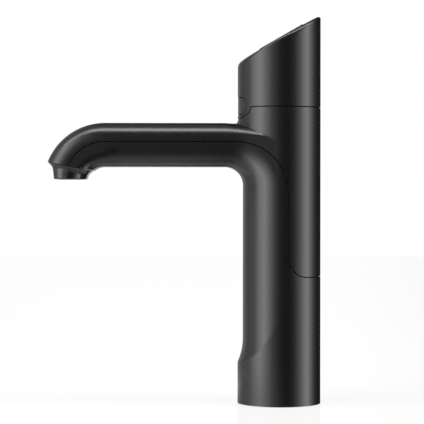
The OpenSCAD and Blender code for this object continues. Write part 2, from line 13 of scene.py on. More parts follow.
import bmesh
import bpy
import numpy as np
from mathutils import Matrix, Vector


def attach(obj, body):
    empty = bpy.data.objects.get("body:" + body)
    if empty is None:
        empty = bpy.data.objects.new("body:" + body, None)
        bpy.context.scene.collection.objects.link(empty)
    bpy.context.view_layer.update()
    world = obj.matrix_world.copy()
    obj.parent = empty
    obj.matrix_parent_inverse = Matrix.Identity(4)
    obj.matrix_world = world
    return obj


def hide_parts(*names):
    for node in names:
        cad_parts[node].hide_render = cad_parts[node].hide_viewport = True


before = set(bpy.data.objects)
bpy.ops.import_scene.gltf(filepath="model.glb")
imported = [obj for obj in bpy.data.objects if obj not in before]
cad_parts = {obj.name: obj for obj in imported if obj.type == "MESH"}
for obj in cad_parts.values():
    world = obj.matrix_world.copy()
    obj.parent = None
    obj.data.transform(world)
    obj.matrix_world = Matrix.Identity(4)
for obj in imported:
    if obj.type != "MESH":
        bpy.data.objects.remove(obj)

log = logging.getLogger("tap")
Array = np.ndarray
Colour = tuple[float, float, float]
Level = Callable[[Array], Array]
Cuts = Sequence[tuple[Level, float]]
Socket = bpy.types.NodeSocket
MM = 0.001
FAR = 50.0
WHITE = (1.0, 1.0, 1.0, 1.0)
NOISE_ENDS = (0.3, 0.7)


class Body(Enum):
    """The bodies of the part that pieces ride on."""

    BASE = "base"
    TAP = "tap"
    BOILING = "boiling_push"
    CHILLED = "chilled_push"
    LOCK = "lock_push"


# ---------------------------------------------------------------- finishes


class Tree:
    """A short way to lay out the nodes of a material or of the world."""

    def __init__(self, tree: bpy.types.NodeTree, output: str) -> None:
        """Clears a node tree and gives it its output.

        Args:
            tree: the tree.
            output: the kind of its output node.
        """
        self.nodes = tree.nodes
        self.links = tree.links
        self.nodes.clear()
        self.output = self.nodes.new(output)

    def put(self, socket: Socket, value: object) -> None:
        """Fills an input.

        Args:
            socket: the input.
            value: a socket to link, a plain value, or None to leave the input as it is.
        """
        if isinstance(value, Socket):
            self.links.new(value, socket)
        elif value is not None:
            socket.default_value = value

    def add(self, kind: str, inputs: dict | None = None, **options: object) -> Socket:
        """Adds a node.

        Args:
            kind: the node's kind.
            inputs: what goes into its inputs, by their names or numbers.
            options: settings of the node itself.

        Returns:
            The node's first output.
        """
        node = self.nodes.new("ShaderNode" + kind)
        for name, value in options.items():
            setattr(node, name, value)
        for name, value in (inputs or {}).items():
            self.put(node.inputs[name], value)
        return node.outputs[0]

    def calc(self, operation: str, *values: object) -> Socket:
        """The result of a math node on sockets or numbers."""
        return self.add("Math", dict(enumerate(values)), operation=operation)

    def mix(self, share: object, first: Socket, second: Socket) -> Socket:
        """The mix of two shaders by the share of the second."""
        return self.add("MixShader", {0: share, 1: first, 2: second})

    def sweep(self, value: Socket, start: float, end: float) -> Socket:
        """A smooth ramp from 0 where the value is start to 1 where it is end."""
        ends = {"Value": value, "From Min": start, "From Max": end}
        return self.add("MapRange", ends, interpolation_type="SMOOTHSTEP")


class Finish(Tree):
    """The nodes of one finish round a principled shader."""

    def __init__(self, name: str) -> None:
        """Starts a material with its shader in the object's own space.

        Args:
            name: the material's name.
        """
        self.material = bpy.data.materials.new(name)
        self.material.use_nodes = True
        super().__init__(self.material.node_tree, "ShaderNodeOutputMaterial")
        self.shader = self.add("BsdfPrincipled")
        self.put(self.output.inputs[0], self.shader)
        self.place = self.add("TexCoord").node.outputs["Object"]

    def noise(self, scale: float, detail: float = 2.0, stretch: Sequence[float] = (1, 1, 1)) -> Socket:
        """Noise by its cells to a metre, its finer layers and its stretch along X, Y and Z."""
        mapped = self.add("Mapping", {"Vector": self.place, "Scale": stretch})
        return self.add("TexNoise", {"Vector": mapped, "Scale": scale, "Detail": detail})

    def span(self, value: Socket, low: float, high: float) -> Socket:
        """Spreads a noise value over a range.

        Args:
            value: the noise.
            low: the result for dark noise.
            high: the result for light noise.

        Returns:
            The spread value.
        """
        dark, light = NOISE_ENDS
        ends = {"Value": value, "From Min": dark, "From Max": light, "To Min": low, "To Max": high}
        return self.add("MapRange", ends)

    def tint(self, value: Socket, dark: Colour, light: Colour) -> None:
        """Colours the shader from a noise value.

        Args:
            value: the noise.
            dark: colour where the noise is dark.
            light: colour where the noise is light.
        """
        ramp = self.add("ValToRGB", {"Fac": value})
        for stop, position, tone in zip(ramp.node.color_ramp.elements, NOISE_ENDS, (dark, light)):
            stop.position = position
            stop.color = (*tone, 1)
        self.set({"Base Color": ramp})

    def bump(self, *heights: tuple[Socket, float]) -> None:
        """Chains bumps into the shader's normal.

        Args:
            heights: pairs of a height socket and its depth in metres.
        """
        normal = None
        for height, depth in heights:
            inputs = {"Strength": 1.0, "Distance": depth, "Height": height, "Normal": normal}
            normal = self.add("Bump", inputs)
        self.set({"Normal": normal})

    def set(self, values: dict[str, object]) -> None:
        """Fills the shader's own sockets by their names."""
        for name, value in values.items():
            self.put(self.shader.node.inputs[name], value)


@dataclass(frozen=True)
class Coat:
    """A powder coat, a moulded plastic or a rubber: one tone with a fine, even grain."""

    name: str
    tone: Colour
    spread: float = 0.12
    roughness: float = 0.4
    grain: float = 2600.0
    depth: float = 0.000006
    swell: float = 500.0
    swell_depth: float = 0.0
    through: float = 0.0

    def make(self) -> bpy.types.Material:
        """Builds the finish.

        Returns:
            Its material.
        """
        tree = Finish(self.name)
        slow = tree.noise(self.swell)
        fine = tree.noise(self.grain, 3)
        dark, light = (tuple(c * share for c in self.tone) for share in (1 - self.spread, 1 + self.spread))
        tree.tint(slow, dark, light)
        tree.bump((slow, self.swell_depth), (fine, self.depth))
        rough = tree.span(fine, self.roughness - 0.03, self.roughness + 0.03)
        tree.set({"Roughness": rough, "Transmission Weight": self.through})
        return tree.material


@dataclass(frozen=True)
class Turned:
    """A turned or drawn metal, with fine marks along one direction."""

    name: str
    tone: Colour
    roughness: float = 0.25
    stretch: tuple[float, float, float] = (0.2, 0.2, 9.0)
    scale: float = 900.0
    depth: float = 0.000004

    def make(self) -> bpy.types.Material:
        """Builds the finish.

        Returns:
            Its material.
        """
        tree = Finish(self.name)
        marks = tree.noise(self.scale, 3, self.stretch)
        tree.tint(tree.noise(130), tuple(c * 0.84 for c in self.tone), self.tone)
        tree.bump((marks, self.depth))
        rough = tree.span(marks, self.roughness - 0.06, self.roughness + 0.08)
        tree.set({"Roughness": rough, "Metallic": 1.0})
        return tree.material


@dataclass(frozen=True)
class Board:
    """Solder mask over copper tracks on a circuit board."""

    name: str
    mask: Colour = (0.012, 0.13, 0.045)
    track: Colour = (0.03, 0.24, 0.09)
    cells: float = 420.0

    def make(self) -> bpy.types.Material:
        """Builds the finish.

        Returns:
            Its material.
        """
        tree = Finish(self.name)
        cells = {"Vector": tree.place, "Scale": self.cells}
        tracks = tree.span(tree.add("TexVoronoi", cells, feature="DISTANCE_TO_EDGE"), 1.4, -0.6)
        tree.tint(tracks, self.mask, self.track)
        tree.bump((tracks, 0.00002))
        tree.set({"Roughness": 0.25})
        return tree.material


def make_finishes() -> dict[str, bpy.types.Material]:
    """Builds every finish once.

    Returns:
        The materials by their slot's name.
    """
    casting = dict(tone=(0.003, 0.0031, 0.0032), spread=0.15, roughness=0.26, depth=0.000003)
    casting |= dict(swell=700, swell_depth=0.000005)
    key = dict(tone=(0.012, 0.012, 0.012), spread=0.1, roughness=0.42, grain=3000)
    mark = dict(spread=0.06, roughness=0.35, grain=3000)
    made = [
        *(Coat(name, **casting) for name in ("black_casting", "black_cap")),
        *(Coat(name, **key) for name in ("boiling_button", "chilled_button", "lock_button")),
        Coat("boiling_mark", (0.55, 0.02, 0.015), **mark),
        Coat("chilled_mark", (0.02, 0.12, 0.55), **mark),
        Coat("lock_mark", (0.5, 0.5, 0.5), **mark),
        Coat("smoked_lens", (0.006, 0.006, 0.007), 0.05, roughness=0.3, grain=3000, depth=0.000001),
        Coat("nozzle_plastic", (0.004, 0.004, 0.0043), 0.1, roughness=0.23, grain=3000, depth=0.000002),
        Coat("rubber", (0.018, 0.018, 0.018), 0.2, roughness=0.7, grain=1800, depth=0.00001),
        Coat("acetal", (0.78, 0.77, 0.72), 0.03, grain=1500, depth=0.000004),
        Coat("tube", (0.76, 0.76, 0.72), 0.04, roughness=0.3, grain=900, depth=0.000004, through=0.35),
        Coat("led_plastic", (0.85, 0.82, 0.66), 0.03, 0.25, grain=2000, depth=0.000002, through=0.3),
        Turned("brass", (0.72, 0.52, 0.25), roughness=0.24),
        Turned("steel", (0.6, 0.61, 0.63), roughness=0.3),
        Board("circuit_board"),
    ]
    return {finish.name: finish.make() for finish in made}


def dress_nodes(nodes: dict[str, bpy.types.Object], finishes: dict[str, bpy.types.Material]) -> None:
    """Gives each carried-over node the finish of the slot that it came with.

    Args:
        nodes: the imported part's nodes.
        finishes: all finishes.
    """
    for node in nodes.values():
        slot = node.material_slots[0].material.name.split(".")[0]
        node.data.materials.clear()
        node.data.materials.append(finishes[slot])


# ---------------------------------------------------------------- mesh helpers


def place(name: str, data: bpy.types.ID) -> bpy.types.Object:
    """Puts new data into the scene.

    Args:
        name: the object's name.
        data: its mesh, lamp or camera.

    Returns:
        The object.
    """
    made = bpy.data.objects.new(name, data)
    bpy.context.scene.collection.objects.link(made)
    return made


def finished(name: str, build: bmesh.types.BMesh, crease: float = 32.0) -> bpy.types.Object:
    """Joins doubled points, turns the faces outwards and smooths them up to a crease.

    Args:
        name: the piece's name.
        build: its mesh, in metres.
        crease: angle in degrees from which an edge stays sharp.

    Returns:
        The piece.
    """
    bmesh.ops.remove_doubles(build, verts=build.verts, dist=1e-7)
    bmesh.ops.recalc_face_normals(build, faces=build.faces)
    mesh = bpy.data.meshes.new(name)
    build.to_mesh(mesh)
    build.free()
    mesh.polygons.foreach_set("use_smooth", [True] * len(mesh.polygons))
    mesh.set_sharp_from_angle(angle=math.radians(crease))
    return place(name, mesh)


def add_faces(build: bmesh.types.BMesh, points: Array, faces: Sequence) -> list:
    """Adds points and faces to a mesh.

    Args:
        build: the mesh, in metres.
        points: points in millimetres.
        faces: point numbers of each face.

    Returns:
        The new points.
    """
    made = [build.verts.new(point) for point in np.asarray(points) * MM]
    for face in faces:
        build.faces.new([made[number] for number in face])
    return made


def solid(name: str, points: Array, faces: Sequence) -> bpy.types.Object:
    """Makes a closed piece with smooth faces.

    Args:
        name: the piece's name.
        points: points in millimetres.
        faces: point numbers of each face.

    Returns:
        The piece.
    """
    build = bmesh.new()
    add_faces(build, points, faces)
    return finished(name, build)


def bands(rings: Sequence[Array], closed: bool = True) -> tuple[Array, list]:
    """Joins rings of equal length by bands of four-sided faces.

    Args:
        rings: point rows, each one round the piece once.
        closed: whether the last row joins the first, as on a washer.

    Returns:
        All points and the faces.
    """
    count, total = len(rings[0]), len(rings)
    faces = []
    for row in range(total if closed else total - 1):
        near, far = row * count, (row + 1) % total * count
        for i in range(count):
            j = (i + 1) % count
            faces.append((near + i, near + j, far + j, far + i))
    return np.concatenate(rings), faces


def circle(radius: Array | float, z: float, steps: int) -> Array:
    """A ring round the Z axis, whose radius may differ from point to point."""
    turn = np.arange(steps) * 2 * math.pi / steps
    return np.stack([radius * np.cos(turn), radius * np.sin(turn), np.full(steps, z)], 1)


def quarter(radius: float, degrees: Sequence[float]) -> list[tuple[float, float]]:
    """How far a rounded edge is drawn in and falls short at each angle of its turn."""
    return [(radius * (1 - math.cos(turn)), radius * (1 - math.sin(turn))) for turn in np.radians(degrees)]


def rounded_profile(corners: Sequence[tuple[float, float]], edge: float, steps: int = 4) -> list[Array]:
    """Rounds the corners of a closed outline.

    Args:
        corners: radius and height of each corner.
        edge: the rounding.
        steps: steps in each rounding.

    Returns:
        The outline's points.
    """
    outline = []
    spots = np.array(corners)
    for here, before, after in zip(spots, np.roll(spots, 1, 0), np.roll(spots, -1, 0)):
        back, on = unit(np.stack([before - here, after - here]))
        half = math.acos(float(back @ on)) / 2
        centre = here + (back + on) / np.hypot(*(back + on)) * edge / math.sin(half)
        reach = edge / math.tan(half)
        for share in np.linspace(0, 1, steps + 1):
            way = here + reach * (back * (1 - share) + on * share) - centre
            outline.append(centre + way / np.hypot(*way) * edge)
    return outline


def rounded_box(half: Sequence[float], corners: Sequence[float], steps: int = 12) -> Array:
    """A rectangle's outline with round corners, about its middle.

    Args:
        half: half its length along each of its two axes.
        corners: radius of each corner, from the first quadrant on.
        steps: steps in each corner.

    Returns:
        Its points, without doubles.
    """
    turn = np.linspace(0, math.pi / 2, steps + 1)
    rows = []
    for number, sides in enumerate(((1, 1), (-1, 1), (-1, -1), (1, -1))):
        angle = turn + number * math.pi / 2
        middle = (np.array(half) - corners[number]) * sides
        rows.append(middle + corners[number] * np.stack([np.cos(angle), np.sin(angle)], 1))
    points = np.concatenate(rows)
    return points[np.hypot(*(points - np.roll(points, 1, 0)).T) > 1e-9]


# ---------------------------------------------------------------- implicit skin


def unit(vectors: Array) -> Array:
    """Vectors scaled to length 1."""
    return vectors / np.maximum(np.linalg.norm(vectors, axis=1, keepdims=True), 1e-12)


def ease(share: Array) -> Array:
    """A share held between 0 and 1, with a smooth start and end."""
    share = np.clip(share, 0, 1)
    return share * share * (3 - 2 * share)


def flipped(level: Level) -> Level:
    """A level function with its inside and outside swapped."""
    return lambda points: -level(points)


def meet(a: Array, b: Array, radius: Array | float, cosine: Array | float = 0.0) -> Array:
    """Distance to what lies inside both a and b, their edge rounded by a rolling ball.

    Args:
        a: first distance, negative inside.
        b: second distance, negative inside.
        radius: the ball's radius.
        cosine: cosine of the angle between their outward normals.

    Returns:
        The distance.
    """
    u, v = a + radius, b + radius
    room = np.maximum(1 - np.square(cosine), 1e-3)
    ball = np.sqrt(np.maximum(u * u + v * v - 2 * u * v * cosine, 0) / room) - radius
    near = (v - cosine * u > 0) & (u - cosine * v > 0)
    return np.where(near, ball, np.maximum(a, b))


def slope(level: Level, points: Array, step: float = 0.02) -> Array:
    """The gradient of a level function at each point, from samples a step to either side."""
    ways = np.eye(3) * step
    return np.stack([(level(points + way) - level(points - way)) / (2 * step) for way in ways], 1)


def homeward(level: Level, points: Array) -> Array:
    """The step that takes each point to where the level is zero."""
    grad = slope(level, points)
    return np.clip(-(level(points) / np.maximum((grad * grad).sum(1), 0.25))[:, None] * grad, -1.5, 1.5)


def cell_points(value: Array) -> tuple[Array, Array]:
    """Finds a point in each grid cell that the surface crosses.

    Args:
        value: the level at each point of the grid.

    Returns:
        The points, counted in cells, and each cell's point number or -1.
    """
    size = np.array(value.shape) - 1
    corners = np.array(list(np.ndindex(2, 2, 2)))
    inside = (value < 0).astype(np.int8)
    total = sum(inside[tuple(slice(c, c + s) for c, s in zip(corner, size))] for corner in corners)
    active = np.argwhere((total > 0) & (total < len(corners)))
    number = np.full(size, -1)
    number[tuple(active.T)] = np.arange(len(active))
    summed = np.zeros((len(active), 3))
    crossings = np.zeros((len(active), 1))
    for start in corners:
        for axis in np.flatnonzero(start == 0):
            end = start + (np.arange(3) == axis)
            va, vb = value[tuple((active + start).T)], value[tuple((active + end).T)]
            hit = (va < 0) != (vb < 0)
            spot = np.tile(start.astype(float), (len(active), 1))
            spot[:, axis] += np.where(hit, va / np.where(va == vb, 1, va - vb), 0)
            summed += spot * hit[:, None]
            crossings += hit[:, None]
    return active + summed / crossings, number


def cell_faces(inside: Array, number: Array) -> Array:
    """Joins the points of the four cells round each grid edge that the surface crosses.

    Args:
        inside: which points of the grid lie inside.
        number: each cell's point number.

    Returns:
        Triangles that face outwards.
    """
    quads = []
    for axis in range(3):
        sides = [(axis + 1) % 3, (axis + 2) % 3]
        here = np.argwhere(np.diff(inside, axis=axis))
        last = np.array(inside.shape)[sides] - 1
        here = here[((here[:, sides] > 0) & (here[:, sides] < last)).all(1)]
        ring = []
        for back in ((1, 1), (0, 1), (0, 0), (1, 0)):
            cell = here.copy()
            cell[:, sides] -= back
            ring.append(number[tuple(cell.T)])
        ring = np.stack(ring, 1)
        flip = ~inside[tuple(here.T)]
        ring[flip] = ring[flip][:, ::-1]
        quads.append(ring)
    quads = np.concatenate(quads)
    return np.concatenate([quads[:, [0, 1, 2]], quads[:, [0, 2, 3]]])


@dataclass
class Skin:
    """A triangle mesh that lies on an implicit surface and can be cut and refined."""

    level: Level
    points: Array
    faces: Array
    normals: Array | None = None
    cut_of: Array | None = None

    @classmethod
    def extract(cls, level: Level, low: Sequence[float], high: Sequence[float], cell: float) -> "Skin":
        """Finds the surface on a grid and pulls its points onto it.

        Args:
            level: distance function, negative inside.
            low: lowest corner of the grid.
            high: highest corner of the grid.
            cell: the grid's step.

        Returns:
            The skin, with its points spread evenly.
        """
        axes = [np.arange(a, b + cell, cell) for a, b in zip(low, high)]
        grid = np.stack(np.meshgrid(*axes, indexing="ij"), -1)
        value = level(grid.reshape(-1, 3)).reshape(grid.shape[:3])
        spots, number = cell_points(value)
        skin = cls(level, np.array(low) + spots * cell, cell_faces(value < 0, number))
        for _ in range(4):
            skin.pull(2)
            skin.spread(0.5)
        skin.pull(4)
        return skin

    def edges(self) -> Array:
        """Point numbers of each side of each triangle, in the faces' direction."""
        return np.concatenate([self.faces[:, [0, 1]], self.faces[:, [1, 2]], self.faces[:, [2, 0]]])

    def pull(self, rounds: int) -> None:
        """Moves the points onto the surface and takes their normals.

        Args:
            rounds: how often they are moved.
        """
        for _ in range(rounds):
            self.points = self.points + homeward(self.level, self.points)
        self.normals = unit(slope(self.level, self.points))

    def spread(self, share: float) -> None:
        """Evens out the points along the surface.

        Args:
            share: how far each point goes towards the middle of its neighbours.
        """
        here, there = self.edges().T
        total = [np.bincount(here, column[there], len(self.points)) for column in self.points.T]
        count = np.bincount(here, minlength=len(self.points))
        move = np.stack(total, 1) / np.maximum(count, 1)[:, None] - self.points
        move -= (move * self.normals).sum(1)[:, None] * self.normals
        self.points = self.points + move * share

    def split(self, chosen: Array) -> None:
        """Splits edges in the middle.

        Args:
            chosen: point numbers of each edge, the lower first, in rising order.
        """
        total = len(self.points)
        key = chosen[:, 0] * total + chosen[:, 1]
        self.points = np.concatenate([self.points, self.points[chosen].mean(1)])

        def middle_of(a: Array, b: Array) -> Array:
            """Finds the new points.

            Args:
                a: the first end of each edge.
                b: its other end.

            Returns:
                The number of the new point between them, or -1.
            """
            wanted = np.minimum(a, b) * total + np.maximum(a, b)
            at = np.minimum(np.searchsorted(key, wanted), len(key) - 1)
            return np.where(key[at] == wanted, total + at, -1)

        a, b, c = self.faces.T
        ab, bc, ca = middle_of(a, b), middle_of(b, c), middle_of(c, a)
        plan = [((ab < 0) & (bc < 0) & (ca < 0), ((a, b, c),))]
        plan += [((ab >= 0) & (bc >= 0) & (ca >= 0), ((a, ab, ca), (ab, b, bc), (ca, bc, c), (ab, bc, ca)))]
        for _ in range(3):
            plan.append(((ab >= 0) & (bc < 0) & (ca < 0), ((a, ab, c), (ab, b, c))))
            plan.append(((ab >= 0) & (bc >= 0) & (ca < 0), ((ab, b, bc), (a, ab, bc), (a, bc, c))))
            a, b, c, ab, bc, ca = b, c, a, bc, ca, ab
        self.faces = np.concatenate([np.stack(face, 1)[mask] for mask, faces in plan for face in faces])

    def refine(self, bend: float, shortest: float) -> None:
        """Splits edges across which the surface turns.

        Args:
            bend: the largest turn of the normal along an edge, in degrees.
            shortest: edges shorter than this are left.
        """
        pairs = np.unique(np.sort(self.edges(), 1), axis=0)
        turn = (self.normals[pairs[:, 0]] * self.normals[pairs[:, 1]]).sum(1)
        length = np.linalg.norm(self.points[pairs[:, 0]] - self.points[pairs[:, 1]], axis=1)
        self.split(pairs[(turn < math.cos(math.radians(bend))) & (length > shortest)])
        self.pull(3)

    def piece(self, cuts: Cuts) -> "Skin":
        """Cuts out the part of the skin where every cut is negative.

        Args:
            cuts: pairs of a level function and how far inside it the skin ends.

        Returns:
            The part, whose border points carry their cut's number from 1.
        """
        part = Skin(self.level, self.points, self.faces, self.normals, np.zeros(len(self.points), int))
        for number, (level, back) in enumerate(cuts, 1):
            part = part.trimmed(level, back, number)
        used, faces = np.unique(part.faces, return_inverse=True)
        faces = faces.reshape(-1, 3)
        return Skin(self.level, part.points[used], faces, part.normals[used], part.cut_of[used])

    def along(self, level: Level, points: Array, normals: Array) -> tuple[Array, Array]:
        """How a cut's level rises along the surface.

        Args:
            level: the cut.
            points: points on the surface.
            normals: the surface's normals there.

        Returns:
            Unit directions along the surface and how fast the level rises.
        """
        grad = slope(level, points)
        grad -= (grad * normals).sum(1)[:, None] * normals
        rise = np.linalg.norm(grad, axis=1)
        return grad / np.maximum(rise, 1e-9)[:, None], rise

    def trimmed(self, level: Level, back: float, number: int) -> "Skin":
        """Keeps the skin where a level is below zero, less a strip.

        Args:
            level: the cut.
            back: width of the strip that is left off.
            number: the cut's number for its border points.

        Returns:
            The trimmed skin.
        """
        value = level(self.points)
        close = np.abs(value) < 4 + back
        value[close] += back * self.along(level, self.points[close], self.normals[close])[1]
        out = value >= 0
        sides = out[self.faces].sum(1)
        turned = led_by(out, self.faces[sides == 1])
        single = led_by(~out, self.faces[sides == 2])
        crossing = np.concatenate([faces[:, [0, end]] for faces in (turned, single) for end in (1, 2)])
        pairs, index = np.unique(np.sort(crossing, 1), axis=0, return_inverse=True)
        va, vb = value[pairs].T
        share = np.clip(va / (va - vb), 0.0, 1.0)[:, None]
        made = self.points[pairs[:, 0]] * (1 - share) + self.points[pairs[:, 1]] * share
        for _ in range(3):
            made = made + homeward(self.level, made)
            way, rise = self.along(level, made, unit(slope(self.level, made)))
            step = (level(made) + back * rise) / np.maximum(rise, 0.2)
            made = made - np.clip(step, -0.5, 0.5)[:, None] * way
        ends = np.cumsum([len(turned), len(turned), len(single)])
        p, q, r, s = np.split(index.reshape(-1) + len(self.points), ends)
        kept = [
            self.faces[sides == 0],
            np.stack([p, turned[:, 1], turned[:, 2]], 1),
            np.stack([p, turned[:, 2], q], 1),
            np.stack([single[:, 0], r, s], 1),
        ]
        return Skin(
            self.level,
            np.concatenate([self.points, made]),
            np.concatenate(kept),
            np.concatenate([self.normals, unit(slope(self.level, made))]),
            np.concatenate([self.cut_of, np.full(len(made), number)]),
        )

    def border(self, number: int) -> Array:
        """Finds the edges of the skin's border that one cut made.

        Args:
            number: the cut's number.

        Returns:
            Point numbers of each edge, in the faces' direction.
        """
        edges = self.edges()
        _, index, count = np.unique(np.sort(edges, 1), axis=0, return_inverse=True, return_counts=True)
        edges = edges[count[index.reshape(-1)] == 1]
        return edges[(self.cut_of[edges] == number).all(1)]

    def wrapped(self, cuts: Cuts, radius: float, wall: float) -> tuple[Array, list, Array]:
        """Rounds each border over and turns it inwards, with a ledge that closes the seam.

        Args:
            cuts: the cuts that the piece was made with.
            radius: rounding of the borders.
            wall: the wall's thickness.

        Returns:
            Points, faces and vertex normals of the whole piece.
        """
        points, normals, faces = [self.points], [self.normals], self.faces.tolist()
        total = len(self.points)
        square = math.pi / 2
        for number, (level, back) in enumerate(cuts, 1):
            near, index = np.unique(self.border(number), return_inverse=True)
            i, j = index.reshape(-1, 2).T
            base, normal = self.points[near], self.normals[near]
            way, _ = self.along(level, base, normal)
            ledge = max(back - 0.02, radius)
            rows = [(radius * math.sin(t), radius * (1 - math.cos(t)), t) for t in np.radians([30, 60, 90])]
            rows += [(radius, 0.8, square), (ledge, 0.85, square), (ledge, wall, square)]
            for side, depth, turn in rows:
                points.append(base + way * side - normal * depth)
                normals.append(normal * math.cos(turn) + way * math.sin(turn))
                far = total + np.arange(len(base))
                faces += np.stack([near[j], near[i], far[i], far[j]], 1).tolist()
                total += len(base)
                near = far
        return np.concatenate(points), faces, np.concatenate(normals)


def led_by(marked: Array, faces: Array) -> Array:
    """Triangles turned so that their one marked point comes first."""
    first = marked[faces].argmax(1)[:, None]
    return np.take_along_axis(faces, (first + np.arange(3)) % 3, 1)


# ---------------------------------------------------------------- the castings


@dataclass
class Form:
    """The tap's outer form as one distance function, with the lines of its seams."""

    body_r: float = 27.0
    front: float = 23.6
    arm_top: float = 182.5
    arm_bottom: float = 154.35
    flank_x: float = -2.729
    neck_x: float = -20.0
    neck_run: float = 10.0
    neck_half: float = 25.107
    neck_taper: float = 0.1016
    arm_taper: float = 0.0192
    bend_x: float = -112.95
    bend_z: float = 145.25
    nose_z: float = 142.6
    inner_x: float = -114.4
    inner_r: float = 9.8
    elbow_r: float = 11.9
    near_x: float = -36.0
    near_run: float = 32.0
    top_r: float = 12.5
    top_r_lost: tuple[float, float] = (8.5, 0.9)
    edge_fall: float = 7.6
    under_r: float = 15.0
    elbow_gain: tuple[float, float] = (8.6, 12.0)
    tip_loss: tuple[float, float] = (6.5, 4.5)
    tip_x: float = -102.0
    tip_run: float = 18.0
    scoop_z: float = 43.0
    scoop_r: float = 38.5
    foot_z: float = 56.0
    slant_z: float = 237.5
    slant: float = math.radians(30)
    face_crown: float = 0.42
    rim_r: tuple[float, float, float] = (1.15, 1.5, 3.9)
    rim_x: float = -150.7
    rim_z: float = 157.4
    rim_tilt: float = math.radians(10.4)
    deck_gap: float = 0.5
    arm_seam_z: float = 170.1
    back_seam_x: float = 4.7
    back_seam_z: float = 83.1
    elbow_seam_r: float = 33.2
    back_corner_r: float = 12.8
    cap_z: float = 192.8
    lobe_half: float = 18.9
    lobe_drop: float = 7.6
    lobe_power: float = 2.4
    window_half: float = 15.4
    window_r: float = 5.6
    window_z: float = 193.7
    pad_core: tuple[float, float] = (13.4, 9.8)
    pad_r: float = 3.2
    pad_u: float = 1.2

    def width(self, x: Array) -> Array:
        """Half width of the spout and of the flat flank that leaves the column.

        Args:
            x: places along the spout.

        Returns:
            The half widths: round at the column, narrowing at the neck, then widening a little.
        """
        past = self.neck_x - np.maximum(x, self.bend_x)
        turn = np.clip(past, 0, self.neck_run)
        curve = (self.neck_taper + self.arm_taper) / (2 * self.neck_run)
        flank = self.neck_half - self.neck_taper * np.minimum(past, self.neck_run) + curve * turn * turn
        flank = flank + self.arm_taper * np.maximum(past - self.neck_run, 0)
        return np.where(x > self.flank_x, np.sqrt(self.body_r**2 - np.clip(x, -3, 0) ** 2), flank)

    def over_arm(self, x: Array, y: Array, z: Array) -> Array:
        """Distance to the spout's top, whose edges fall and tighten near the column.

        Args:
            x: places along the spout.
            y: distances from its middle.
            z: heights.

        Returns:
            The distances, negative inside.
        """
        nose = np.hypot(x - self.bend_x, z - self.nose_z)
        crown = np.where(x < self.bend_x, nose, z - self.nose_z)
        near = np.clip((x - self.near_x) / self.near_run, 0, 1)
        crown = crown + self.edge_fall * near**1.35 * ease((y - 5) / 12)
        at_column, at_tip = self.top_r_lost
        tight = self.top_r - at_column * near**1.2 - at_tip * np.clip((self.bend_x - x) / 16, 0, 1)
        side = np.maximum(y - (self.width(x) - tight), 0)
        over = np.maximum(crown - (self.arm_top - self.nose_z - tight), 0)
        return np.hypot(side, over) - tight

    def under_arm(self, x: Array, y: Array, z: Array) -> Array:
        """Distance to the spout's underside and the column's front, one surface round the elbow.

        Args:
            x: places along the spout.
            y: distances from its middle.
            z: heights.

        Returns:
            The distances, negative inside; the edges are rounded by quarters of an ellipse.
        """
        pivot_x = -self.front - self.elbow_r
        dx = np.maximum(x - pivot_x, 0)
        dz = np.maximum(z - self.arm_bottom + self.elbow_r, 0)
        angle = np.arctan2(dx, dz)
        turn = angle / (math.pi / 2)
        tip = ease((self.tip_x - x) / self.tip_run)
        deep, wide = (self.under_r + g * ease(turn) - t * tip for g, t in zip(self.elbow_gain, self.tip_loss))
        bend = np.hypot(x - self.inner_x, z - self.arm_bottom + self.inner_r) - self.inner_r
        rise = np.where(x < self.inner_x, bend, np.hypot(dx, dz) - self.elbow_r)
        edge_x = np.where(x > pivot_x, pivot_x + (self.elbow_r + deep) * np.sin(angle), x)
        tilt = (self.width(edge_x + 0.01) - self.width(edge_x - 0.01)) / 0.02 * (1 - turn)
        flank = np.where(rise < deep, self.width(edge_x) + tilt * (x - edge_x), self.width(x))
        low = np.clip(self.scoop_z - z, 0, 20)
        scoop = np.minimum(self.scoop_r - np.sqrt(self.scoop_r**2 - low**2), self.body_r - self.front)
        short = np.maximum(deep - rise, 0)
        aside = np.maximum(y - (flank - wide), 0)
        deep = deep + scoop
        wide = wide + np.square(np.clip(self.foot_z - z, 0, 60)) / 320
        k0 = np.hypot(aside / wide, short / deep)
        k1 = np.hypot(aside / wide**2, short / deep**2)
        return np.where(k1 > 1e-9, k0 * (k0 - 1) / np.maximum(k1, 1e-9), -np.minimum(wide, deep))

    def head(self, x: Array, y: Array, z: Array, column: Array) -> Array:
        """Distance to the head under its slanted face, whose rim is rounded most at the front.

        Args:
            x: places along the spout.
            y: places across it.
            z: heights.
            column: distance to the round column.

        Returns:
            The distances, negative inside.
        """
        lean = x / np.maximum(np.hypot(x, y), 1e-6)
        front = np.clip(-lean - 0.35, 0, 1) / 0.65
        least, rear, most = self.rim_r
        rim_r = least + rear * np.exp(-np.square((lean - 0.38) / 0.35)) + most * front**1.5
        crown = self.face_crown * np.square(y / self.body_r)
        face = math.cos(self.slant) * (z - self.slant_z + crown) - math.sin(self.slant) * x
        return meet(face, column, rim_r, -math.sin(self.slant) * lean)

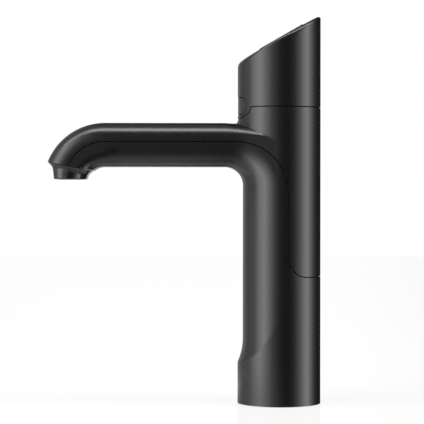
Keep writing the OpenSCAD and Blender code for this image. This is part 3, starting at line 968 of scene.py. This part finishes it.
    def level(self, p: Array) -> Array:
        """Distance to the whole outer form.

        Args:
            p: points.

        Returns:
            The distances, negative inside.
        """
        x, y, z = p.T
        y = np.abs(y)
        rho = np.maximum(np.hypot(x, y), 1e-6)
        column = rho - self.body_r
        arm = np.maximum(self.over_arm(x, y, z), self.under_arm(x, y, z))
        side = np.maximum(y - (self.width(x) - self.top_r), 0)
        over = np.maximum(z - (self.arm_top - self.top_r), 0)
        cosine = side / np.maximum(np.hypot(side, over), 1e-6) * y / rho
        blend = 0.8 + 1.2 * np.exp(-np.square(y / 12))
        joined = -meet(-arm, -column, blend, np.minimum(cosine, 0.97))
        front = np.where(z < 160, np.where(z < 60, np.maximum(arm, column), arm), joined)
        form = np.where(x < 0, front, column)
        form = np.where(z > 195, self.head(x, y, z, column), form)
        return np.where(x < -60, np.maximum(form, self.rim_at(x) - 4 - z), form)

    def rim_at(self, x: Array) -> Array:
        """Height of the tilted rim at the spout's tip."""
        return self.rim_z - math.tan(self.rim_tilt) * (x - self.rim_x)

    def below_seam(self, p: Array) -> Array:
        """Level of the long seam.

        Args:
            p: points.

        Returns:
            The level, negative in the lower casting.
        """
        x, _, z = p.T
        bend = np.hypot(x - self.bend_x, z - self.bend_z) - self.arm_seam_z + self.bend_z
        top = np.where(x < self.bend_x, bend, z - self.arm_seam_z)
        block = meet(x - self.back_seam_x, top, self.elbow_seam_r)
        return -meet(-block, self.back_seam_z - z, self.back_corner_r)

    def in_cap(self, p: Array) -> Array:
        """Level of the seam under the head, with the lobe that dips round the window.

        Args:
            p: points.

        Returns:
            The level, negative in the head.
        """
        x, y, z = p.T
        down = np.maximum(self.cap_z + 0.001 - z, 0)
        size = (np.abs(y) / self.lobe_half) ** self.lobe_power + (down / self.lobe_drop) ** self.lobe_power
        lobe = (size ** (1 / self.lobe_power) - 1) * self.lobe_drop
        return np.minimum(self.cap_z - z, np.where((x < 0) & (z < self.cap_z + 3), lobe, FAR))

    def in_window(self, p: Array) -> Array:
        """Level of the oval window's edge.

        Args:
            p: points.

        Returns:
            The level, negative inside the window.
        """
        x, y, z = p.T
        along = np.maximum(np.abs(y) - (self.window_half - self.window_r), 0)
        return np.where(x < 0, np.hypot(along, z - self.window_z) - self.window_r, FAR)

    def round_pad(self, p: Array) -> Array:
        """Level of the control pad's opening.

        Args:
            p: points.

        Returns:
            The level, negative outside the opening.
        """
        s, c = math.sin(self.slant), math.cos(self.slant)
        x, v, z = p.T
        u, n = x * c + (z - self.slant_z) * s, (z - self.slant_z) * c - x * s
        along = np.abs(u - self.pad_u) - self.pad_core[0]
        over = np.abs(v) - self.pad_core[1]
        edge = np.hypot(np.maximum(along, 0), np.maximum(over, 0)) + np.minimum(np.maximum(along, over), 0)
        return np.where(n > -4, self.pad_r - edge, -FAR)

    def over_rim(self, p: Array) -> Array:
        """Level of the tip's rim, negative in the spout."""
        return np.where(p[:, 0] < -95, (self.rim_at(p[:, 0]) - p[:, 2]) * math.cos(self.rim_tilt), -FAR)

    def over_deck(self, p: Array) -> Array:
        """Level of the foot's lower edge, negative in the column."""
        return self.deck_gap - p[:, 2]

    def on_face(
        self, at: Sequence[float], core: Sequence[float], radius: float, height: float, steps: int = 12
    ) -> Array:
        """An oblong's outline on the slanted face.

        Args:
            at: its middle, up the face and across it.
            core: half of the rectangle that the oblong surrounds.
            radius: how far the outline lies outside that rectangle.
            height: how far it stands above the face.
            steps: steps in each corner.

        Returns:
            Its points.
        """
        s, c = math.sin(self.slant), math.cos(self.slant)
        u, v = (rounded_box(np.add(core, radius), [radius] * 4, steps) + at).T
        return np.stack([u * c - height * s, v, self.slant_z + u * s + height * c], 1)


@dataclass
class Assembly:
    """What every sub-assembly has: the tap's form and the finishes."""

    form: Form
    finishes: dict[str, bpy.types.Material]

    def fasten(self, piece: bpy.types.Object, node: str, body: Body, finish: str) -> bpy.types.Object:
        """Puts a piece on its body in place of a node, with its finish.

        Args:
            piece: the piece.
            node: the node that it stands for, or "" for none.
            body: the body that it rides on.
            finish: the slot of its finish.

        Returns:
            The piece.
        """
        piece.data.materials.append(self.finishes[finish])
        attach(piece, body.value)
        if node:
            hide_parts(node)
        return piece


@dataclass
class Castings(Assembly):
    """The skins of the two castings, the head and the window."""

    low: tuple[float, float, float] = (-154, -29.25, -3)
    high: tuple[float, float, float] = (29, 29.25, 254)
    cell: float = 1.3
    gap: float = 0.6
    edge_r: float = 0.04
    wall: float = 2.5

    def build(self) -> list[bpy.types.Object]:
        """Extracts the form once and cuts the pieces from it.

        Returns:
            The pieces.
        """
        form = self.form
        skin = Skin.extract(form.level, self.low, self.high, self.cell)
        skin.refine(14, 0.7)
        skin.refine(12, 0.5)
        log.info("skin: %d points, %d triangles", len(skin.points), len(skin.faces))
        seam, lip = self.gap / 2 + self.edge_r, self.edge_r
        lower = ((form.below_seam, seam), (form.over_rim, lip), (form.over_deck, lip))
        upper = ((flipped(form.below_seam), seam), (form.over_rim, lip), (flipped(form.in_cap), seam))
        head = ((form.in_cap, seam), (flipped(form.in_window), seam), (form.round_pad, 0.15 + lip))
        window = ((form.in_window, seam),)
        return [
            self.cut(skin, "lower_casting", "lower_body", "black_casting", lower),
            self.cut(skin, "upper_casting", "upper_shell", "black_casting", upper),
            self.cut(skin, "head_skin", "head_cap", "black_cap", head),
            self.cut(skin, "window_lens", "indicator_lens", "smoked_lens", window, 0.2),
        ]

    def cut(
        self, skin: Skin, name: str, node: str, slot: str, cuts: Cuts, sunk: float = 0.0
    ) -> bpy.types.Object:
        """Cuts one piece out of the skin.

        Args:
            skin: the whole skin.
            name: the piece's name.
            node: the node it stands for.
            slot: the slot of its finish.
            cuts: the piece's borders.
            sunk: how far it lies inside the form.

        Returns:
            The piece.
        """
        part = skin.piece(cuts)
        points, faces, normals = part.wrapped(cuts, self.edge_r, self.wall)
        inner = len(part.points)
        points -= np.concatenate([part.normals, unit(points[inner:] * (1, 1, 0))]) * sunk
        mesh = bpy.data.meshes.new(name)
        mesh.from_pydata((points * MM).tolist(), [], faces)
        mesh.polygons.foreach_set("use_smooth", [True] * len(mesh.polygons))
        mesh.normals_split_custom_set_from_vertices(normals.tolist())
        mesh.update()
        return self.fasten(place(name, mesh), node, Body.TAP, slot)


# ---------------------------------------------------------------- nozzle


@dataclass
class Nozzle(Assembly):
    """The collar under the spout's rim, flared like a tulip."""

    bottom: float = 146.2
    inner_top: float = 150.4
    rim_half: tuple[float, float] = (14.3, 25.2)
    rim_corner: float = 12.0
    low_half: tuple[float, float] = (9.95, 21.8)
    low_corners: tuple[float, float] = (12.3, 8.0)
    centre_x: float = -135.75
    low_shift: float = -0.3
    wall: float = 1.6
    lip_r: float = 0.55
    fall: tuple[float, ...] = (0, 0.5, 1.44, 2.3, 3.2, 5.2, 7.4, 9.35, 12)
    inward: tuple[float, ...] = (0, 0.62, 1.57, 2.25, 2.75, 3.2, 3.42, 3.6, 3.8)

    def section(self, share: Array | float, z: Array | float, shrink: float = 0.0) -> Array:
        """One section of the collar.

        Args:
            share: 0 for the rim's section, 1 for the lowest; it may differ from point to point.
            z: its height, which may differ too.
            shrink: how far it is drawn in on all sides.

        Returns:
            Points round the section.
        """
        front, back = self.low_corners
        corners = np.array([front, back, back, front]) - shrink
        rim = rounded_box(np.subtract(self.rim_half, shrink), [self.rim_corner - shrink] * 4, 14)
        low = rounded_box(np.subtract(self.low_half, shrink), corners, 14) + (self.low_shift, 0)
        share = np.reshape(share, (-1, 1))
        spots = rim * (1 - share) + low * share + (self.centre_x, 0)
        return np.column_stack([spots, np.full(len(spots), z)])

    def build(self) -> list[bpy.types.Object]:
        """Lofts the collar from the rim to its lower lip.

        Returns:
            The collar.
        """
        rim = self.form.rim_at(self.section(0, 0)[:, 0]) - 0.25
        room = rim - self.bottom - self.lip_r
        rings = [self.section(0, rim - 0.1, 3.4), self.section(0, rim, 0.5)]
        for drop in [np.full(len(rim), 0.3), *(room * part for part in np.linspace(0.05, 1, 15) ** 1.25)]:
            share = np.interp(drop, self.fall, self.inward) / self.inward[-1]
            rings.append(self.section(share, rim - drop))
        bore = self.wall + 0.25
        rows = [*quarter(self.lip_r, (30, 60, 90)), (self.wall, 0.0), (bore, 0.3)]
        for shrink, height in (*rows, (bore, self.inner_top - self.bottom)):
            rings.append(self.section(share, self.bottom + height, shrink))
        piece = solid("nozzle_skin", *bands(rings))
        return [self.fasten(piece, "nozzle_collar", Body.TAP, "nozzle_plastic")]


# ---------------------------------------------------------------- control face


@dataclass(frozen=True)
class Key:
    """One push button: its kind, body, middle on the face, half span and end radius."""

    kind: str
    body: Body
    at: tuple[float, float]
    reach: float
    radius: float


@dataclass
class ControlFace(Assembly):
    """The raised pad on the slanted face with its three push buttons."""

    rise: float = 0.72
    gap: float = 0.3
    edge: float = 0.65
    mouth_r: float = 0.35
    dish: float = 0.28
    mark_r: float = 0.8
    mark_reach: float = 1.1
    keys: tuple[Key, ...] = (
        Key("boiling", Body.BOILING, (-1.8, 5.5), 3.7, 4.3),
        Key("chilled", Body.CHILLED, (-1.8, -5.5), 3.7, 4.3),
        Key("lock", Body.LOCK, (12.0, 0.0), 0.0, 3.4),
    )

    def pad(self) -> bpy.types.Object:
        """Builds the pad with rounded outer and opening edges.

        Returns:
            The pad.
        """
        form = self.form
        rim = np.array([(1.08, 0.0), (0.92, 0.01), (0.8, 0.06), (0.05, 0.92), (0.0, 1.08)]) * self.edge
        mouth = np.array(quarter(self.mouth_r, (90, 65, 40, 20, 0))) * (-1, 1)
        loops = [((form.pad_u, 0.0), form.pad_core, form.pad_r - 0.05, rim)]
        loops += [(key.at, (key.reach, 0.0), key.radius + self.gap, mouth) for key in self.keys]
        build = bmesh.new()
        top = []
        for at, core, radius, rows in loops:
            rows = [*rows, (0.0, self.rise + 2.0)]
            rings = [form.on_face(at, core, radius - inset, self.rise - drop) for inset, drop in rows]
            made = add_faces(build, *bands(rings, closed=False))[: len(rings[0])]
            top += [build.edges.get(pair) for pair in zip(made, made[1:] + made[:1])]
        bmesh.ops.triangle_fill(build, use_beauty=True, edges=top)
        return self.fasten(finished("control_pad", build, 40), "control_fascia", Body.TAP, "black_cap")

    def raised(
        self, name: str, key: Key, reach: float, radius: float, rows: Sequence, steps: int = 12
    ) -> bpy.types.Object:
        """Builds a closed oblong piece on the face.

        Args:
            name: the piece's name.
            key: the button that it belongs to.
            reach: half the distance between the centres of its ends.
            radius: radius of its ends.
            rows: how far each of its rings is drawn in and its height.
            steps: steps in each quarter of a ring.

        Returns:
            The piece.
        """
        core = (reach, 0.0)
        rings = [self.form.on_face(key.at, core, radius - inset, height, steps) for inset, height in rows]
        points, faces = bands(rings, closed=False)
        count = len(rings[0])
        return solid(name, points, [*faces, range(count), range(len(points) - count, len(points))])

    def button(self, key: Key) -> bpy.types.Object:
        """Builds one push button with a slightly dished top and a stem.

        Args:
            key: the button.

        Returns:
            The button.
        """
        top, edge = self.rise + 0.1, 0.6
        rows = [(0.0, -2.6), (0.0, top - edge)]
        rows += [(inset, top - drop) for inset, drop in quarter(edge, (20, 45, 70, 90))]
        for share in (0.2, 0.4, 0.6, 0.8, 1.0):
            drop = self.dish * math.sin(share * math.pi / 2)
            rows.append((edge + (key.radius - edge - 0.15) * share, top - drop))
        return self.raised(key.kind + "_key", key, key.reach, key.radius, rows)

    def mark(self, key: Key) -> bpy.types.Object:
        """Builds the plain raised mark on a button.

        Args:
            key: the button.

        Returns:
            The mark.
        """
        top = self.rise + 0.02
        rows = ((0.0, top - 0.5), (0.0, top - 0.03), (0.06, top), (self.mark_r * 0.6, top + 0.02))
        reach = self.mark_reach if key.reach else 0.0
        return self.raised(key.kind + "_mark", key, reach, self.mark_r, rows, 6)

    def build(self) -> list[bpy.types.Object]:
        """Builds the pad, the buttons and their marks.

        Returns:
            The pieces.
        """
        made = [self.pad()]
        for key in self.keys:
            made.append(self.fasten(self.button(key), key.kind + "_button", key.body, key.kind + "_button"))
            made.append(self.fasten(self.mark(key), "", key.body, key.kind + "_mark"))
        return made


# ---------------------------------------------------------------- below the worktop


@dataclass
class Fixing(Assembly):
    """What holds the tap to the worktop: gasket, threaded shank, washers and nut."""

    shank_r: float = 16.5
    bore_r: float = 13.0
    shank_low: float = -62.0
    shank_top: float = 12.2
    thread_top: float = -2.0
    thread_depth: float = 1.1
    pitch: float = 2.0
    nut_half: float = 20.5
    nut_low: float = -45.0
    nut_top: float = -35.0

    def shank(self) -> bpy.types.Object:
        """Builds the shank with a helical thread below the worktop's top.

        Returns:
            The shank.
        """
        steps = 64
        turn = np.arange(steps) / steps
        outer = self.shank_r - 0.02
        rings = []
        for z in np.arange(self.shank_low, self.thread_top, self.pitch / 6):
            up = z - self.shank_low
            groove = np.abs((up / self.pitch - turn) % 1.0 * 2 - 1) * self.thread_depth
            fade = max(min(1.0, up / 2.5, (self.thread_top - z) / 2.0), 0.0)
            chamfer = max(0.0, 1.0 - up) * self.thread_depth
            rings.append(circle(outer - np.maximum(groove * fade, chamfer), z, steps))
        ends = ((outer, self.thread_top), (outer, self.shank_top), (self.bore_r, self.shank_top))
        rings += [circle(radius, z, steps) for radius, z in (*ends, (self.bore_r, self.shank_low))]
        return self.fasten(solid("shank_thread", *bands(rings)), "threaded_shank", Body.BASE, "brass")

    def nut(self) -> bpy.types.Object:
        """Builds the hexagon nut, its corners chamfered and its hole countersunk.

        Returns:
            The nut.
        """
        steps = 96
        sixth, half = math.pi / 3, self.nut_half
        turn = np.arange(steps) * 2 * math.pi / steps
        flat = half / np.cos((turn + sixth / 2) % sixth - sixth / 2)
        cone, hole = half * 1.04, self.shank_r + 0.05
        side = [(half - 1.0, 0.0), (np.minimum(flat, half), 0.05), (np.minimum(flat, cone), 0.6)]
        side += [(np.minimum(flat, cone + 1.2), 1.3), (flat, 2.6)]
        rows = [(radius, self.nut_low + inset) for radius, inset in side]
        rows += [(radius, self.nut_top - inset) for radius, inset in reversed(side)]
        rows += [(hole + 0.8, self.nut_top), (hole, self.nut_top - 0.8)]
        rows += [(hole, self.nut_low + 0.8), (hole + 0.8, self.nut_low)]
        piece = solid("hexagon_nut", *bands([circle(radius, z, steps) for radius, z in rows]))
        return self.fasten(piece, "back_nut", Body.BASE, "brass")

    def rings(self) -> list[bpy.types.Object]:
        """Builds the gasket and the two washers with rounded edges.

        Returns:
            The pieces.
        """
        # piece, node, finish, inner and outer radius, lowest and highest point, rounding
        plan = (
            ("foot_gasket", "deck_gasket", "rubber", 17.3, 23.8, 0.0, 1.2, 0.4),
            ("soft_washer", "rubber_washer", "rubber", 16.7, 27.0, -33.0, -30.0, 0.9),
            ("hard_washer", "steel_washer", "steel", 16.7, 26.0, -35.0, -33.0, 0.35),
        )
        made = []
        for name, node, slot, inner, outer, low, high, edge in plan:
            outline = rounded_profile([(inner, low), (outer, low), (outer, high), (inner, high)], edge)
            rings = [circle(radius, z, 96) for radius, z in outline]
            made.append(self.fasten(solid(name, *bands(rings)), node, Body.BASE, slot))
        return made

    def build(self) -> list[bpy.types.Object]:
        """Builds all fixing pieces and returns them."""
        return [self.shank(), self.nut(), *self.rings()]


# ---------------------------------------------------------------- studio


@dataclass
class Softbox:
    """A rectangular lamp that faces the tap, with its sizes in metres."""

    name: str
    azimuth: float
    elevation: float
    distance: float
    width: float
    height: float
    radiance: float
    aim: tuple[float, float, float] = (0.0, 0.0, 0.13)

    def build(self) -> None:
        """Places the lamp; its azimuth counts from the camera's side towards +X."""
        a, e = math.radians(self.azimuth), math.radians(self.elevation)
        way = Vector((math.sin(a) * math.cos(e), -math.cos(a) * math.cos(e), math.sin(e)))
        lamp = bpy.data.lights.new(self.name, "AREA")
        lamp.shape = "RECTANGLE"
        lamp.size = self.width
        lamp.size_y = self.height
        lamp.energy = self.radiance * math.pi * self.width * self.height
        holder = place(self.name, lamp)
        holder.location = Vector(self.aim) + way * self.distance
        holder.rotation_euler = way.to_track_quat("Z", "Y").to_euler()
        holder.visible_camera = False


@dataclass
class Studio:
    """White surroundings, the pale floor, the lamps and the camera, in metres.

    Each screen is an azimuth in degrees and a brightness, each floor ramp an axis and the places
    where the floor's light begins and is full.
    """

    camera_at: tuple[float, float, float] = (-0.0618, -1.174, 0.1335)
    lens: float = 152.6
    shift: tuple[float, float] = (27.6 / 424, -13.15 / 424)
    roll: float = math.radians(-0.06)
    room: float = 0.03
    screen_level: float = 4.4
    screens: tuple[tuple[float, float], ...] = (
        *((-180, 0.04), (-150, 0.11), (-128, 0.08), (-110, 0.16), (-95, 0.22), (-72, 0.84), (-56, 1.13)),
        *((-40, 0.6), (-20, 0.165), (0, 0.03), (20, 0.0), (38, 0.035), (55, 0.28), (70, 0.76)),
        *((82, 1.02), (96, 0.34), (110, 0.05), (126, 0.0), (180, 0.0)),
    )
    floor_ramps: tuple[tuple[str, float, float], ...] = (
        ("X", 0.03, -0.06),
        ("X", -0.4, -0.2),
        ("Y", -0.22, 0.08),
        ("Y", 0.25, 0.0),
    )
    boxes: tuple[Softbox, ...] = (
        Softbox("top_softbox", 0, 78, 1.4, 3.4, 0.42, 5.0),
        Softbox("top_core", 0, 78, 1.39, 1.1, 0.42, 3.3),
        Softbox("rear_top_fill", 180, 72, 1.5, 3.0, 0.7, 0.36),
    )

    def world(self) -> None:
        """Makes surroundings that are white to the eye and light the tap like a ring of screens."""
        world = bpy.data.worlds.new("white_room")
        bpy.context.scene.world = world
        world.use_nodes = True
        tree = Tree(world.node_tree, "ShaderNodeOutputWorld")
        toward = tree.add("TexCoord").node.outputs["Generated"]
        way = tree.add("SeparateXYZ", {"Vector": toward}).node.outputs
        azimuth = tree.calc("ARCTAN2", way["X"], tree.calc("MULTIPLY", way["Y"], -1.0))
        ramp = tree.add("ValToRGB", {"Fac": tree.calc("MULTIPLY_ADD", azimuth, 0.5 / math.pi, 0.5)})
        ramp.node.color_ramp.interpolation = "EASE"
        stops = ramp.node.color_ramp.elements
        stops.remove(stops[1])
        for degrees, share in self.screens:
            stop = stops[0] if degrees == -180 else stops.new(degrees / 360 + 0.5)
            stop.color = (share, share, share, 1)
        height = tree.sweep(tree.calc("ABSOLUTE", way["Z"]), 0.95, 0.55)
        level = tree.calc("MULTIPLY_ADD", tree.calc("MULTIPLY", ramp, height), self.screen_level, self.room)
        dim = tree.add("Background", {"Color": WHITE, "Strength": level})
        white = tree.add("Background", {"Color": WHITE})
        behind = tree.add("MapRange", {"Value": way["Y"], "From Min": 0.975, "From Max": 0.995})
        path = tree.add("LightPath").node.outputs
        mirrored = tree.calc("MAXIMUM", path["Is Glossy Ray"], path["Is Transmission Ray"])
        shown = tree.calc("MAXIMUM", path["Is Camera Ray"], tree.calc("MULTIPLY", mirrored, behind))
        tree.put(tree.output.inputs[0], tree.mix(shown, dim, white))

    def floor(self) -> None:
        """Lays a white floor that keeps the shadow and a faint mirror image of the foot."""
        build = bmesh.new()
        bmesh.ops.create_grid(build, x_segments=8, y_segments=8, size=3.0)
        floor = finished("white_floor", build)
        tree = Finish("white_floor")
        tree.tint(tree.noise(3), (0.78, 0.78, 0.78), (0.82, 0.82, 0.82))
        tree.set({"Roughness": 0.5})
        gloss = tree.add("BsdfPrincipled", {"Base Color": (0.9, 0.9, 0.9, 1), "Roughness": 0.12})
        seen = tree.mix(0.8, gloss, tree.add("Emission"))
        side = tree.add("SeparateXYZ", {"Vector": tree.place}).node.outputs
        lit = 1.0
        for axis, start, full in self.floor_ramps:
            lit = tree.calc("MULTIPLY", lit, tree.sweep(side[axis], start, full))
        patch = tree.mix(lit, tree.add("BsdfTransparent"), tree.shader)
        camera = tree.add("LightPath").node.outputs["Is Camera Ray"]
        tree.put(tree.output.inputs[0], tree.mix(camera, patch, seen))
        floor.data.materials.append(tree.material)

    def camera(self) -> None:
        """Puts the camera where the photograph was taken from."""
        data = bpy.data.cameras.new("photo_camera")
        data.lens = self.lens
        data.sensor_width = 36.0
        data.shift_x, data.shift_y = self.shift
        data.clip_start = 0.05
        holder = place("photo_camera", data)
        holder.location = self.camera_at
        holder.rotation_euler = (math.pi / 2, self.roll, 0)
        bpy.context.scene.camera = holder

    def build(self) -> None:
        """Sets up the whole studio."""
        bpy.context.scene.view_settings.view_transform = "Standard"
        self.world()
        self.floor()
        for box in self.boxes:
            box.build()
        self.camera()


def corners(pair: Sequence[Vector]) -> list[list[float]]:
    """A box's two corners as plain lists of numbers."""
    return [[float(value) for value in corner] for corner in pair]


def main() -> None:
    """Builds the studio and every sub-assembly in order."""
    logging.basicConfig(level=logging.INFO, format="%(name)s: %(message)s")
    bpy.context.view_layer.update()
    finishes = make_finishes()
    dress_nodes(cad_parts, finishes)
    Studio().build()
    form = Form()
    for kind in (Castings, Nozzle, ControlFace, Fixing):
        for piece in kind(form, finishes).build():
            log.info("%s: %d faces", piece.name, len(piece.data.polygons))


if __name__ == "__main__":
    main()
